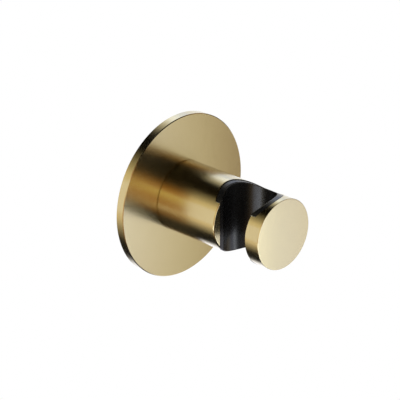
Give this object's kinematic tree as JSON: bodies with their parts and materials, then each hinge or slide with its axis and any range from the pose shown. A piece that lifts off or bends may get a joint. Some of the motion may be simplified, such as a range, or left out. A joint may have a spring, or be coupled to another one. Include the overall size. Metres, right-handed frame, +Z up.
{
  "type": "hand shower holder",
  "caption": "Wall holder for a hand shower: round cover plate, straight round arm in brushed brass, and a black slotted cone seat that takes the hose nut from the side.",
  "frame": {"origin": "centre of the wall plate on the wall plane", "axes": "+Y into the wall, the arm runs out along -Y; +X to the right of a person facing the wall; +Z up"},
  "size_m": [0.07, 0.06, 0.07],
  "materials": {
    "satin_brass": "brushed satin, pale gold",
    "black_plastic": "moulded, half gloss black",
    "turned_brass": "bare, as turned",
    "stainless_steel": "plain stainless"
  },
  "bodies": {
    "root": {"wall_plate": "satin_brass", "holder_arm": "satin_brass", "cone_insert": "black_plastic", "mounting_base": "turned_brass", "grub_screw": "stainless_steel"}
  },
  "joints": []
}
